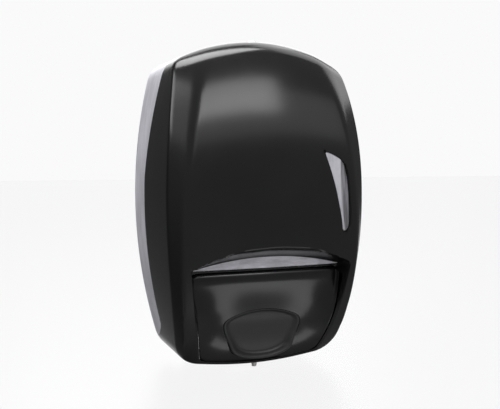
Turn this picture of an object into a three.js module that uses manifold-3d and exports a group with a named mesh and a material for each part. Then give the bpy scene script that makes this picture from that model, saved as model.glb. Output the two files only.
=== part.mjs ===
// Wall mounted soap dispenser: a barrel-shaped hinged cover over a wall tray that carries a
// refillable tank and a push pump.  Millimetres.
//
// The pieces are drawn as seen from the front: x to the right, y up, z straight out of the wall,
// with the wall at z = 0.  The last lines turn the whole group so that +Z is up and the front
// looks along -Y.
import * as THREE from 'three';
import { mergeVertices } from 'three/addons/utils/BufferGeometryUtils.js';
import Module from 'manifold-3d';

const wasm = await Module();
wasm.setup();

// ---------------------------------------------------------------- driving dimensions
const HALF_WIDTH = 91.5;         // at the wall, where the barrel is widest
const WIDEST_AT = 8;             // height of that widest place
const CREASE_HALF_WIDTH = 88.1;  // sharp edge between side and front
const CREASE_DEPTH = 93.7;       // how far that edge stands out from the wall
const BAND_RISE = 12.5;          // the front face stands this far in front of the edge
const CROWN = 7;                 // extra bulge of the front face on the centre line
const ROOF_TOP = 139.5;
const FLOOR_BOTTOM = -138;

// The outlines are parabolas: a width or height changes by the square of the distance from
// its extreme, over these lengths.
const WALL_SWEEP = 854;
const CREASE_SWEEP = 1045;
const ROOF_SWEEP = 300;
const FLOOR_SWEEP = 620;
const SLOT_SWEEP = 470;
const CREASE_WIDEST_AT = 6;
const DEPTH_FALL = 95e-6;        // the crease falls back towards top and bottom
const DEPTH_POWER = 2.6;
const BAND_AT_ZERO = 11.5;       // width of the bevel band at height 0
const BAND_GROWTH = 0.077;       // and how much wider it gets for each millimetre of height
const BAND_LEAST = 1;
const ROOF_ROLL = 12;            // height over which the front rolls over into the roof
const ROOF_ROLL_SIDE = 4;        // how far back it rolls at the crease
const ROOF_ROLL_MIDDLE = 17;     // and on the centre line
const BROW_MIDDLE = -31;         // height where the hand scoop starts, on the centre line
const SLOT_TOP_MIDDLE = -41.5;
const WALL = 2.5;                // plastic wall thickness
const GAP = 0.4;                 // between pieces that lie against each other
const PLATE = 3;                 // thickness of the tray's back

const PARTING_DEPTH = 30;        // the cover's rear edge, measured from the wall
const PARTING_DEPTH_TOP = 47;
const PANEL_INSET = 15;          // push panel's side edge, in from the crease
const PANEL_TOP = -54.5;
const RIM = 3.3;                 // cover rim left below the push panel
const SCOOP_AT_SLOT = 12;
const SCOOP_DEEPEST = 20;
const SCOOP_DEEPEST_AT = -92;

const COVER_HINGE = { y: -129, z: 10, pin: 2 };
const LEVER_HINGE = { y: -57, z: 85.5, rod: 1.6 };
const PUMP = { y: -116, z: 30, r: 11, bore: 8.5 };
const TANK = { half: 62, top: 105, shoulder: -40, bottom: -88, neckHalf: 22, back: 8, front: 66 };
const FILLER = { z: 28, r: 15 };
const LOCK = { z: 54.5, r: 5 };

// ---------------------------------------------------------------- form of the body
const clamp01 = (t) => Math.min(1, Math.max(0, t));
const smooth = (t) => clamp01(t) ** 2 * (3 - 2 * clamp01(t));

const wallHalf = (y) => HALF_WIDTH - (y - WIDEST_AT) ** 2 / WALL_SWEEP;
const creaseHalf = (y) => CREASE_HALF_WIDTH - (y - CREASE_WIDEST_AT) ** 2 / CREASE_SWEEP;
const creaseDepth = (y) => (
  CREASE_DEPTH - DEPTH_FALL * Math.abs(y - CREASE_WIDEST_AT) ** DEPTH_POWER);
const roofHeight = (x) => ROOF_TOP - x * x / ROOF_SWEEP;
const floorHeight = (x) => FLOOR_BOTTOM + x * x / FLOOR_SWEEP;
const panelHalf = (y) => creaseHalf(y) - PANEL_INSET;
const bandWidth = (y) => Math.max(BAND_AT_ZERO + BAND_GROWTH * y, BAND_LEAST);

// Height of the scooped brow and of the slot window's top edge, across the front.
const browHeight = (x) => BROW_MIDDLE - x * x / ROOF_SWEEP;
const slotTop = (x) => SLOT_TOP_MIDDLE - x * x / SLOT_SWEEP;
const SLOT_BOTTOM = -51;

// The front face before the scoop: bevel band at the sides, crowned face between, rounded
// over to the roof.
function plainFront(x, y) {
  const a = Math.abs(x);
  const crease = creaseHalf(y);
  const inner = crease - bandWidth(y);
  const rise = BAND_RISE * smooth((y + 175) / 75);
  const face = a <= inner
    ? rise + CROWN * (1 - (a / inner) ** 2)
    : rise * clamp01((crease - a) / (crease - inner));
  const below = clamp01((roofHeight(a) - y) / ROOF_ROLL);
  const middle = (ROOF_ROLL_MIDDLE - ROOF_ROLL_SIDE) * (1 - clamp01(a / crease) ** 4);
  const roll = (ROOF_ROLL_SIDE + middle) * (1 - Math.sqrt(1 - (1 - below) ** 2));
  return creaseDepth(y) + face - roll;
}

// Depth of the hand scoop: it starts at the brow, deepens behind the push panel's middle and
// runs out again at the rim.
function scoop(x, y) {
  const across = 1 - Math.min(1, Math.abs(x) / panelHalf(y)) ** 3;
  const brow = browHeight(x);
  if (y >= brow) return 0;
  if (y > slotTop(x)) return across * SCOOP_AT_SLOT * smooth((brow - y) / (brow - slotTop(x)));
  if (y > SCOOP_DEEPEST_AT) {
    const deepen = smooth((PANEL_TOP - y) / (PANEL_TOP - SCOOP_DEEPEST_AT));
    return across * (SCOOP_AT_SLOT + (SCOOP_DEEPEST - SCOOP_AT_SLOT) * deepen);
  }
  return across * (SCOOP_DEEPEST - (SCOOP_DEEPEST - 2) * smooth((SCOOP_DEEPEST_AT - y) / 46));
}
const front = (x, y) => plainFront(x, y) - scoop(x, y);

// ---------------------------------------------------------------- solids
function toSolid(geometry) {
  let g = geometry.clone();
  g.deleteAttribute('normal');
  g.deleteAttribute('uv');
  g = mergeVertices(g, 1e-4);
  return new wasm.Manifold(new wasm.Mesh({
    numProp: 3,
    vertProperties: new Float32Array(g.attributes.position.array),
    triVerts: new Uint32Array(g.index.array),
  }));
}

const joinAll = (...solids) => solids.reduce((a, b) => a.add(b));
const cutAll = (solid, ...tools) => tools.reduce((a, b) => a.subtract(b), solid);

// Outline in the front view (x, y), between two depths.
function frontPrism(points, z0, z1) {
  const shape = new THREE.Shape(points.map(([x, y]) => new THREE.Vector2(x, y)));
  const g = new THREE.ExtrudeGeometry(shape, { depth: z1 - z0, bevelEnabled: false });
  return toSolid(g.translate(0, 0, z0));
}

// Outline in the side view (z, y), between two x positions.
function sidePrism(points, x0, x1) {
  const shape = new THREE.Shape(points.map(([z, y]) => new THREE.Vector2(-z, y)));
  const g = new THREE.ExtrudeGeometry(shape, { depth: x1 - x0, bevelEnabled: false });
  return toSolid(g.rotateY(Math.PI / 2).translate(x0, 0, 0));
}

const block = (x0, x1, y0, y1, z0, z1) => toSolid(new THREE.BoxGeometry(x1 - x0, y1 - y0, z1 - z0)
  .translate((x0 + x1) / 2, (y0 + y1) / 2, (z0 + z1) / 2));

// Round bar between two places on one of the axes.
function bar(axis, r, from, to, [a, b], sides = 16) {
  const g = new THREE.CylinderGeometry(r, r, to - from, sides);
  const middle = (from + to) / 2;
  if (axis === 'x') return toSolid(g.rotateZ(-Math.PI / 2).translate(middle, a, b));
  if (axis === 'y') return toSolid(g.translate(a, middle, b));
  return toSolid(g.rotateX(Math.PI / 2).translate(a, b, middle));
}

// Turned piece: [radius, height] profile from the axis to the axis, or closed on itself.
function turned(profile, axis, [a, b], sides = 20) {
  const g = new THREE.LatheGeometry(profile.map(([r, h]) => new THREE.Vector2(r, h)), sides);
  if (axis === 'z') return toSolid(g.rotateX(Math.PI / 2).translate(a, b, 0));
  return toSolid(g.translate(a, 0, b));
}
const ring = (r0, r1, h0, h1) => [[r0, h0], [r1, h0], [r1, h1], [r0, h1], [r0, h0]];

// Points of an arc, angles in degrees.
function arc([cx, cy], r, from, to, steps) {
  return Array.from({ length: steps + 1 }, (_, i) => {
    const t = THREE.MathUtils.degToRad(from + (to - from) * i / steps);
    return [cx + r * Math.cos(t), cy + r * Math.sin(t)];
  });
}
const spread = (from, to, steps) => Array.from(
  { length: steps + 1 }, (_, i) => from + (to - from) * i / steps);

// Closed solid through horizontal rings of equal point count.
function loft(rings) {
  const n = rings[0].length;
  const position = rings.flat(2);
  const index = [];
  rings.slice(1).forEach((_, k) => {
    for (let i = 0; i < n; i += 1) {
      const j = (i + 1) % n;
      const [a, b, c, d] = [k * n + i, k * n + j, (k + 1) * n + j, (k + 1) * n + i];
      index.push(a, b, c, a, c, d);
    }
  });
  const cap = (ringPoints, base, flip) => {
    const flat = ringPoints.map(([x, , z]) => new THREE.Vector2(x, -z));
    THREE.ShapeUtils.triangulateShape(flat, []).forEach(([a, b, c]) => {
      index.push(...(flip ? [base + c, base + b, base + a] : [base + a, base + b, base + c]));
    });
  };
  cap(rings[0], 0, true);
  cap(rings.at(-1), (rings.length - 1) * n, false);
  const g = new THREE.BufferGeometry();
  g.setAttribute('position', new THREE.Float32BufferAttribute(position, 3));
  g.setIndex(index);
  return toSolid(g);
}

// Heights at which the form is sampled: close together at the brow and at the roof edge.
const HEIGHTS = [
  ...spread(-142, -58, 7), ...spread(-53, -29, 8), ...spread(-16, 112, 8),
  119, 125, 130, 134, 137, 139.6, 144,
];

// One horizontal section of the body, counter-clockwise seen from above, set in by a distance.
function section(y, inset, face) {
  const crease = creaseHalf(y) - inset;
  const inner = crease - bandWidth(y);
  const xs = spread(-inner, inner, 10);
  const side = [wallHalf(y) - inset, y, -5];
  const edge = [crease, y, creaseDepth(y) - inset - roundAt(crease, y)];
  const across = xs.map((x) => [x, y, face(x, y) - inset]);
  return [[-side[0], y, -5], [-edge[0], y, edge[2]], ...across, edge, side];
}
function roundAt(x, y) {
  return creaseDepth(y) - plainFront(Math.sign(x) * creaseHalf(y), y);
}

// Front outline of the whole body between roof and floor, with rounded top corners.
function bodyOutline(inset) {
  const corner = 8;
  const roofEnd = 71;
  const roof = spread(roofEnd, -roofEnd, 14).map((x) => [x, roofHeight(x) - inset]);
  const heights = spread(floorHeight(70), roofHeight(roofEnd) - corner, 9);
  const right = heights.map((y) => [wallHalf(y) + 1, y]);
  const left = [...heights].reverse().map((y) => [-wallHalf(y) - 1, y]);
  const floor = spread(-66, 66, 10).map((x) => [x, floorHeight(x) + inset]);
  return [...right, ...roof, ...left, ...floor];
}
const bodySolid = (inset, face) => loft(HEIGHTS.map((y) => section(y, inset, face)))
  .intersect(frontPrism(bodyOutline(inset), 0, 125));

const EAR = 9.5;                 // the cover's lower rear corner is round about the hinge

// Everything behind the cover's rear edge, in the side view; grown by a distance.
function behindParting(grow) {
  const { y, z } = COVER_HINGE;
  const low = -112;
  const rise = spread(24, 150, 4).map((h) => [
    PARTING_DEPTH + (PARTING_DEPTH_TOP - PARTING_DEPTH) * Math.min(1, (h - 24) / 96) + grow, h]);
  const ear = arc([z, y], EAR - grow, 90, 180, 5);
  return sidePrism([[-10, y], ...ear.slice().reverse(), [PARTING_DEPTH - 4 + grow, low + 3 - grow],
    [PARTING_DEPTH + grow, low + 8], ...rise, [-10, 150]], -120, 120);
}

// ---------------------------------------------------------------- colours
const finish = (color, roughness, metalness = 0, opacity = 1) => ({
  color, roughness, metalness, opacity, transparent: opacity < 1,
});
const BLACK_GLOSS = finish(0x26262a, 0.18);
const BLACK_SATIN = finish(0x3a3a3e, 0.45);
const SMOKE = finish(0xb4b2bd, 0.25, 0, 0.75);
const MILKY = finish(0xe6e8ea, 0.4, 0, 0.8);
const GREY = finish(0x8b8e94, 0.5);
const WHITE = finish(0xf2f2ef, 0.4);
const RUBBER = finish(0x202022, 0.8);
const STEEL = finish(0xb9bcc0, 0.25, 1);

const dispenser = new THREE.Group();
function piece(name, solid, look) {
  const mesh = solid.getMesh();
  const g = new THREE.BufferGeometry();
  g.setAttribute('position', new THREE.Float32BufferAttribute(mesh.vertProperties, 3));
  g.setIndex(Array.from(mesh.triVerts));
  const item = new THREE.Mesh(g, new THREE.MeshStandardMaterial(look));
  item.name = name;
  dispenser.add(item);
}

// ---------------------------------------------------------------- windows in the cover
// Right-hand blade window: a curved blade, pointed at the top and rounded at the bottom.
function bladeOutline(grow) {
  const tip = [43.3 - grow, 46 + grow];
  const outer = new THREE.CubicBezierCurve(
    new THREE.Vector2(...tip), new THREE.Vector2(56, 45 + grow),
    new THREE.Vector2(68 + grow, 34), new THREE.Vector2(69.5 + grow, -14));
  const end = arc([64.7, -15], 4.8 + grow, 0, -180, 5);
  const inner = new THREE.QuadraticBezierCurve(
    new THREE.Vector2(59.9 - grow, -15), new THREE.Vector2(56.5 - grow, 16), new THREE.Vector2(...tip));
  const points = (curve, n) => curve.getPoints(n).slice(1, -1).map((p) => [p.x, p.y]);
  return [tip, ...points(outer, 7), ...end, ...points(inner, 4)].reverse();
}

function slotOutline(grow) {
  const half = 66 + grow;
  return [[-half, SLOT_BOTTOM - grow], [half, SLOT_BOTTOM - grow],
    ...spread(half, -half, 12).slice(0, -1).map((x) => [x, Math.max(slotTop(x), SLOT_BOTTOM) + 0.6 + grow]),
    [-half, SLOT_BOTTOM + 0.6 + grow]];
}

// ---------------------------------------------------------------- push panel outline
function panelOutline(grow) {
  const top = PANEL_TOP + grow;
  const bottom = (x) => floorHeight(x) + RIM - grow;
  const sides = spread(-128, top - 5, 6);
  const right = sides.map((y) => [panelHalf(y) - 1 + grow, y]);
  const corner = arc([panelHalf(top) - 6 + grow, top - 5], 5, 20, 90, 3);
  const half = [...right, ...corner];
  const low = spread(-46, 46, 8).map((x) => [x, bottom(x)]);
  return [...half, ...half.map(([x, y]) => [-x, y]).reverse(), ...low];
}

// Oval press pad: wide low arch on top, deeper round below.
function padOutline(grow) {
  return spread(0, 2 * Math.PI, 22).slice(0, -1).map((t) => {
    const up = Math.sin(t) > 0 ? 12.5 : 29.5;
    return [(35 + grow) * Math.cos(t), -101 + (up + grow) * Math.sin(t)];
  });
}

// ---------------------------------------------------------------- pieces of the cover
function leverLug(x0, x1, reach) {
  const { y, z } = LEVER_HINGE;
  return sidePrism([...arc([z, y], 4, 110, 250, 6), [z + reach, y - 4], [z + reach, y + 2]], x0, x1);
}

function makeCover() {
  // The floor is open behind the hinge line and where the spout comes down.
  const shell = cutAll(
    bodySolid(0, front),
    bodySolid(WALL, front),
    behindParting(GAP / 2),
    block(-64, 64, -142, -126, -1, COVER_HINGE.z + 7),
    block(-24, 24, -142, -126, 30, 63.8),
    block(-100, 100, -142, COVER_HINGE.y, -1, COVER_HINGE.z - EAR + 0.5),
  );
  const { y, z, pin } = COVER_HINGE;
  const knuckle = (x0, x1) => sidePrism(
    [...arc([z, y], 4.5, 30, 230, 8), [z - 0.5, y - 5.6], [z + 10, y - 6], [z + 14, y - 4]], x0, x1);
  const lockBoss = bar('y', LOCK.r + 2, 131, 138.2, [0, LOCK.z], 20);
  const solid = joinAll(shell, knuckle(44, 50), knuckle(-50, -44), lockBoss,
    leverLug(71, 74.5, 15.5), leverLug(-74.5, -71, 15.5));
  return cutAll(solid,
    frontPrism(panelOutline(GAP), 40, 125),
    frontPrism(bladeOutline(GAP), 60, 125),
    frontPrism(slotOutline(GAP), 60, 125),
    bar('x', pin + 0.4, -52, 52, [y, z]),
    bar('x', LEVER_HINGE.rod + 0.3, -80, 80, [LEVER_HINGE.y, LEVER_HINGE.z]),
    bar('y', LOCK.r + 0.3, 125, 142, [0, LOCK.z], 20));
}
piece('front_cover', makeCover(), BLACK_GLOSS);

// A window pane: a slab of the front face inside an outline, set a little below the surface.
const pane = (outline, sink, thick) => cutAll(
  bodySolid(sink, front), bodySolid(sink + thick, front)).intersect(frontPrism(outline, 60, 125));
piece('blade_window', pane(bladeOutline(0), 0.3, 2.2), SMOKE);
piece('slot_window', pane(slotOutline(0), 0.6, 2), SMOKE);

const rodAt = [LEVER_HINGE.y, LEVER_HINGE.z];
piece('lever_rod', bar('x', LEVER_HINGE.rod, -76, 76, rodAt, 12), STEEL);

// ---------------------------------------------------------------- push panel and press pad
function makePanel() {
  const slab = cutAll(bodySolid(0.2, front), bodySolid(0.2 + WALL, front))
    .intersect(frontPrism(panelOutline(-GAP), 40, 125));
  const lugs = [-64, -24, 20, 60].map((x) => leverLug(x, x + 4, Math.abs(x + 2) > 50 ? 12.5 : 10.1));
  return cutAll(joinAll(slab, ...lugs),
    frontPrism(padOutline(GAP), 40, 125),
    bar('x', LEVER_HINGE.rod + 0.3, -80, 80, rodAt));
}
piece('push_panel', makePanel(), BLACK_GLOSS);

// The pad's face is dished and its lower lip stands out from the panel.
function makePad() {
  const rings = [1, 0.8, 0.4];
  const outline = padOutline(0);
  const n = outline.length;
  const lip = (y) => 0.6 + 4.2 * smooth((-104 - y) / 26);
  const faceAt = (x, y, s) => front(x, y) + lip(y) * (s > 0.9 ? 1 : 0) - (s > 0.9 ? 0 : 1.4);
  const position = [];
  rings.forEach((s) => outline.forEach(([x, y]) => {
    const [px, py] = [x * s, -101 + (y + 101) * s];
    position.push(px, py, faceAt(px, py, s));
  }));
  position.push(0, -101, faceAt(0, -101, 0));
  const back = position.length / 3;
  outline.forEach(([x, y]) => position.push(x, y, front(x, y) - 3.2));
  position.push(0, -101, front(0, -101) - 4.2);
  const index = [];
  for (let i = 0; i < n; i += 1) {
    const j = (i + 1) % n;
    rings.slice(1).forEach((_, k) => {
      index.push(k * n + i, k * n + j, (k + 1) * n + j, k * n + i, (k + 1) * n + j, (k + 1) * n + i);
    });
    const last = (rings.length - 1) * n;
    index.push(last + i, last + j, rings.length * n);
    index.push(back + i, back + j, j, back + i, j, i);
    index.push(back + j, back + i, back + n);
  }
  const g = new THREE.BufferGeometry();
  g.setAttribute('position', new THREE.Float32BufferAttribute(position, 3));
  g.setIndex(index);
  const foot = bar('z', 6, PLUNGER_FACE + 0.5, front(0, PUMP.y) - 2, [0, PUMP.y]);
  return toSolid(g).add(foot);
}
const PLUNGER_FACE = 62.9;       // front of the plunger head, which the pad's foot pushes
piece('press_pad', makePad(), BLACK_SATIN);

// ---------------------------------------------------------------- wall tray
function makeTray() {
  const { y, z, pin } = COVER_HINGE;
  const outer = bodySolid(0, front).intersect(behindParting(-GAP / 2));
  const hollow = bodySolid(WALL, front).intersect(block(-100, 100, -150, 150, PLATE, 90));
  const shell = cutAll(outer, hollow);
  const ribs = [-1, 1].flatMap((s) => [70, 28, -30, -80].map((h) => block(
    ...(s > 0 ? [68, wallHalf(h) - 1] : [1 - wallHalf(h), -68]), h - 1, h + 1, PLATE - 1, 26)));
  const lug = (x0, x1) => sidePrism(
    [...arc([z, y], 4.4, -70, 70, 6), [PLATE - 1, y + 6], [PLATE - 1, y - 2.5]], x0, x1);
  const boss = (x, h, r, reach) => bar('z', r, PLATE - 1, reach, [x, h]);
  const bosses = [-1, 1].map((s) => boss(s * 54, -68, 4.5, 20));
  const cradle = block(-17, 17, -124, -103, PLATE - 1, 9);
  const catchRib = block(-5, 5, 124, 137.5, 41, 44.5);
  const slots = [-1, 1].flatMap((s) => [92, -58].map((h) => joinAll(
    bar('z', 4.5, -1, 6, [s * 46, h - 7]), block(s * 46 - 2.4, s * 46 + 2.4, h - 7, h, -1, 6),
    bar('z', 2.4, -1, 6, [s * 46, h], 12))));
  return cutAll(joinAll(shell, ...ribs, lug(38, 43.6), lug(-43.6, -38), ...bosses, cradle, catchRib),
    ...slots, bar('x', pin + 0.3, -52, 52, [y, z]),
    ...[-1, 1].map((s) => bar('z', 1.8, 6, 24, [s * 54, -68], 12)));
}
piece('wall_tray', makeTray(), SMOKE);

['left', 'right'].forEach((name, i) => {
  const s = i ? 1 : -1;
  const span = s > 0 ? [37, 52] : [-52, -37];
  piece(`hinge_pin_${name}`, bar('x', COVER_HINGE.pin, ...span, [COVER_HINGE.y, COVER_HINGE.z], 12), STEEL);
});

// ---------------------------------------------------------------- lock in the roof
const lockAt = [0, LOCK.z];
piece('lock_barrel', turned([[0, 123], [4.6, 123], [4.6, 139.9], [6.6, 139.9], [6.6, 141.2], [0, 141.2]],
  'y', lockAt).subtract(block(-0.7, 0.7, 139.6, 143, LOCK.z - 3, LOCK.z + 3)), STEEL);
const nutShape = new THREE.Shape(arc([0, 0], 8, 0, 300, 5).map(([x, y]) => new THREE.Vector2(x, y)));
piece('lock_nut', toSolid(new THREE.ExtrudeGeometry(nutShape, { depth: 3, bevelEnabled: false })
  .rotateX(-Math.PI / 2).translate(0, 127.6, LOCK.z)).subtract(bar('y', 4.9, 120, 135, lockAt, 20)), STEEL);
// The cam reaches sideways while the lock is open and swings rearward behind the catch rib.
piece('lock_cam', joinAll(
  bar('y', 6, 121, 122.7, [0, LOCK.z], 16),
  block(0, 17.8, 121, 122.7, LOCK.z - 3, LOCK.z + 3),
  block(15.3, 17.8, 121, 128.4, LOCK.z - 3, LOCK.z + 3)), STEEL);
piece('cam_screw', turned([[0, 118.6], [3, 118.6], [3, 120.7], [0, 120.7]], 'y', lockAt, 12)
  .subtract(block(-3.2, 3.2, 118, 119.4, LOCK.z - 0.5, LOCK.z + 0.5)), STEEL);

// ---------------------------------------------------------------- tank
function tankOutline(inset) {
  const { half, top, shoulder, bottom, neckHalf } = TANK;
  const [w, n, r] = [half - inset, neckHalf - inset, 16];
  const right = [[n, bottom + inset], [w, shoulder], ...arc([w - r, top - inset - r], r, 0, 90, 5)];
  return [...right, ...right.map(([x, y]) => [-x, y]).reverse()];
}

function makeTank() {
  const { back, front: face, top, bottom } = TANK;
  const neck = (r, h0, h1, z) => bar('y', r, h0, h1, [0, z], 24);
  const ears = [[-60, -36], [36, 60]].map(([x0, x1]) => block(x0, x1, -75, -61, 21, 24));
  const body = joinAll(frontPrism(tankOutline(0), back, face),
    neck(FILLER.r + 2, top - 1, top + 6, FILLER.z), neck(8, -97.5, bottom + 1, PUMP.z), ...ears);
  return cutAll(body, frontPrism(tankOutline(2), back + 2, face - 2),
    neck(FILLER.r, top - 4, top + 9, FILLER.z), neck(5.5, -100, bottom + 4, PUMP.z),
    ...[-1, 1].map((s) => bar('z', 2, 18, 27, [s * 54, -68], 12)));
}
piece('tank', makeTank(), MILKY);

['left', 'right'].forEach((name, i) => {
  const x = i ? 54 : -54;
  const profile = [[0, 12], [1.5, 12], [1.5, 24.4], [3.4, 24.4], [3.4, 26.4], [0, 26.4]];
  piece(`tank_screw_${name}`, turned(profile, 'z', [x, -68], 12)
    .subtract(block(x - 4, x + 4, -68.4, -67.6, 25.4, 28)), STEEL);
});

const fillerAt = [0, FILLER.z];
const capTop = TANK.top + 9.8;
const capProfile = [[0, capTop - 2.2], [17.6, capTop - 2.2], [17.6, TANK.top + 1.2], [19.6, TANK.top + 1.2],
  [19.6, capTop], [0, capTop]];
piece('filler_cap', turned(capProfile, 'y', fillerAt, 24)
  .add(block(-15, 15, capTop - 0.5, capTop + 4, FILLER.z - 2, FILLER.z + 2)), GREY);
piece('cap_seal', turned(ring(15.3, 16.8, TANK.top + 6.3, TANK.top + 7.3), 'y', fillerAt, 24), RUBBER);

// ---------------------------------------------------------------- pump
const inletAt = [0, PUMP.z];
piece('inlet_gasket', turned(ring(4.6, 7.6, -99.2, -97.8), 'y', inletAt), RUBBER);
piece('inlet_nut', turned(ring(8.4, 12, -104.6, -91), 'y', inletAt, 20), GREY);

function makePumpBody() {
  const { y, z, r, bore } = PUMP;
  const body = bar('z', r, 9.4, 36.5, [0, y], 24).add(bar('y', 8, y + 6, -99.5, [0, z], 20));
  return cutAll(body, bar('z', bore, 12, 40, [0, y], 24), bar('y', 2.5, y + 4, -98, [0, z], 12),
    bar('y', 4.4, -104, -98, [0, z], 16));
}
piece('pump_body', makePumpBody(), WHITE);
piece('inlet_valve', turned(
  [[0, -103.6], [3.6, -103.6], [3.6, -102.8], [1, -102.4], [1, -100.6], [0, -100.6]],
  'y', inletAt, 12), RUBBER);

const SPOUT_Z = 59.5;
function makePlunger() {
  const y = PUMP.y;
  const piston = turned([[0, 22], [8.1, 22], [8.1, 23.4], [6.4, 23.4], [6.4, 25.6], [8.1, 25.6], [8.1, 27],
    [4, 27], [4, 54], [0, 54]], 'z', [0, 0], 20).translate(0, y, 0);
  const head = block(-7, 7, y - 8, y + 7, 53, PLUNGER_FACE);
  const spout = bar('y', 3.3, y - 18, y - 7, [0, SPOUT_Z], 16);
  return cutAll(joinAll(piston, head, spout),
    bar('z', 2, 20, SPOUT_Z, [0, y], 12), bar('y', 1.9, y - 20, y + 1.5, [0, SPOUT_Z], 12));
}
piece('plunger', makePlunger(), WHITE);
piece('piston_seal', turned(ring(6.7, 8.3, 23.7, 25.3), 'z', [0, PUMP.y], 20), RUBBER);
piece('outlet_ball', toSolid(new THREE.SphereGeometry(1.5, 10, 8).translate(0, -121, SPOUT_Z)), STEEL);
piece('nozzle_tip', turned(
  [[1.2, -134.3], [1.2, -142.3], [2, -142.3], [2.6, -139], [3, -134.3], [1.2, -134.3]],
  'y', [0, SPOUT_Z], 16), WHITE);

// Return spring around the plunger's stem, between the pump's collar and the head.
function makeSpring() {
  const turns = 5.5;
  class Helix extends THREE.Curve {
    getPoint(t) {
      const a = 2 * Math.PI * turns * t;
      return new THREE.Vector3(6 * Math.cos(a), 6 * Math.sin(a) + PUMP.y, 37.6 + 14.3 * t);
    }
  }
  const wire = new THREE.Shape(arc([0, 0], 0.7, 0, 288, 4).map(([x, y]) => new THREE.Vector2(x, y)));
  return toSolid(new THREE.ExtrudeGeometry(
    wire, { steps: 60, bevelEnabled: false, extrudePath: new Helix() }));
}
piece('return_spring', makeSpring(), STEEL);

// ---------------------------------------------------------------- frame: +Z up, front on -Y
dispenser.rotation.x = Math.PI / 2;
export default dispenser;
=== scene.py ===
"""Looks of a wall mounted soap dispenser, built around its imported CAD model.

Shapes are worked out in millimetres from three numbers: x across, f out from the wall and
z up.  Meshes are written in metres in the row frame, where the front looks along -Y.
"""
import math

import bmesh
import bpy
import numpy as np
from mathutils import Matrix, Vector

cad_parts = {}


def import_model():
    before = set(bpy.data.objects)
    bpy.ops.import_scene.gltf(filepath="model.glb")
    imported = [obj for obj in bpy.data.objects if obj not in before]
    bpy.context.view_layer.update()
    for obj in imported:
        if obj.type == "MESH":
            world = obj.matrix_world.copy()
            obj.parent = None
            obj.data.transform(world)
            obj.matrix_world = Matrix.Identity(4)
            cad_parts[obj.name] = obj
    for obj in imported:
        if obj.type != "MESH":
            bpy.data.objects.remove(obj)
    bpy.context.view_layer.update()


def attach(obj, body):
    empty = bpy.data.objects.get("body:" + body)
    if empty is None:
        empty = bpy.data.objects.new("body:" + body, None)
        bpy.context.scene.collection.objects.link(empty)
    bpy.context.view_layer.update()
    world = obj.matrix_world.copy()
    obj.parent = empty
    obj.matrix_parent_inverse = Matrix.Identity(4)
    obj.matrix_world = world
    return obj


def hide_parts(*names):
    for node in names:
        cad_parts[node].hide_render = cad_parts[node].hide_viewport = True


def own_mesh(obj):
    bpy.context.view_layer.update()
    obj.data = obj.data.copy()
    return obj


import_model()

MM = 0.001
TAU = 2 * math.pi


# ------------------------------------------------------------------ form of the body
def smooth(t):
    """Rises from 0 to 1 as t does, level at both ends."""
    t = np.clip(t, 0, 1)
    return t * t * (3 - 2 * t)


def least(a, b, k):
    """The smaller of a and b, with the corner between them blended over a difference of k."""
    shared = np.maximum(k - np.abs(a - b), 0)
    return np.minimum(a, b) - shared * shared / (4 * k)


def closeness(distance, reach):
    """1 at an edge, falling to 0 at reach from it as a square."""
    return np.clip(1 - np.maximum(distance, 0) / reach, 0, 1) ** 2


def wall_half(z):
    """Half width at the wall: a barrel, widest at z = 8."""
    return 91.5 - (z - 8) ** 2 / 854


def crease_half(z):
    """Half width at the crease between side and front."""
    return 88.1 - (z - 6) ** 2 / 1045


def crease_depth(z):
    """Distance of the crease from the wall, less towards top and bottom."""
    return 93.7 - 95e-6 * np.abs(z - 6) ** 2.6


def roof(x):
    """Height of the roof, an arch."""
    return 139.5 - x * x / 300


def floor(x):
    """Height of the underside, which sags in the middle."""
    return -138 + x * x / 620


PANEL_TOP = -52.8                # the push panel's upper edge
SLOT_FOOT = -50.3                # the slot window's straight lower edge
SCOOP_DEPTH = 16.5               # of the hand scoop at the foot of its ramp
TRENCH_DEPTH = 4                 # of the step between slot window and panel
BLEND = 2.4                      # over which crown and bevel band run together


def panel_half(z):
    """Half width of the push panel's opening, in line with the crease."""
    return crease_half(z) - 15


def brow(x):
    """Height at which the hand scoop starts."""
    return -31 - x * x / 300


def slot_top(x):
    """Height of the slot window's arched upper edge."""
    return -41.5 - x * x / 470


def scoop(x, z):
    """Depth of the hand scoop: a ramp below the brow, crisp at its ends and soft in the middle,
    deepest behind the push panel.  By the slot it is a flat trough with steep cheeks; lower
    down it runs out evenly to the sides."""
    a = np.abs(x)
    edge = panel_half(z) + 1.2
    cheek = 1 - smooth((a - edge + 4.5) / 4.5)
    trough = 0.8 * smooth((z + 96) / 36)
    across = (1 - trough) * (1 - np.minimum(1, a / edge) ** 3) + trough * cheek
    t = np.clip((brow(x) - z) / (brow(x) - slot_top(x)), 0, 1)
    crisp = smooth((a - 12) / 40)
    ramp = SCOOP_DEPTH * (crisp * (1 - (1 - t) ** 2) + (1 - crisp) * smooth(t))
    deep = 3.5 * smooth((-54.5 - z) / 37.5) - 18 * smooth((-92 - z) / 46)
    return across * (ramp + deep)


def rolled(distance, reach, depth):
    """Drop of a surface that rolls over like an ellipse within reach of an edge."""
    t = 1 - np.clip(distance / reach, 0, 1)
    return depth * (1 - np.sqrt(np.maximum(1 - t * t, 0)))


def face(x, z):
    """Front face: the smaller of the crowned middle and the bevel band, less the scoop and
    less the rolled edges at roof and floor."""
    a = np.abs(x)
    crease = crease_half(z)
    inner = crease - np.maximum(11.5 + 0.077 * z, 1)
    rise = 12.5 * smooth((z + 175) / 75)
    crowned = rise + 7 * (1 - (a / inner) ** 2)
    band = rise * (crease - a) / (crease - inner)
    across = 1 - np.clip(a / crease, 0, 1) ** 4
    rounding = rolled(roof(x) - z, 12, 4 + 13 * across) + rolled(z - floor(x), 1.8, 1.8)
    return crease_depth(z) + least(crowned, band, BLEND) - rounding - scoop(x, z)


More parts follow.
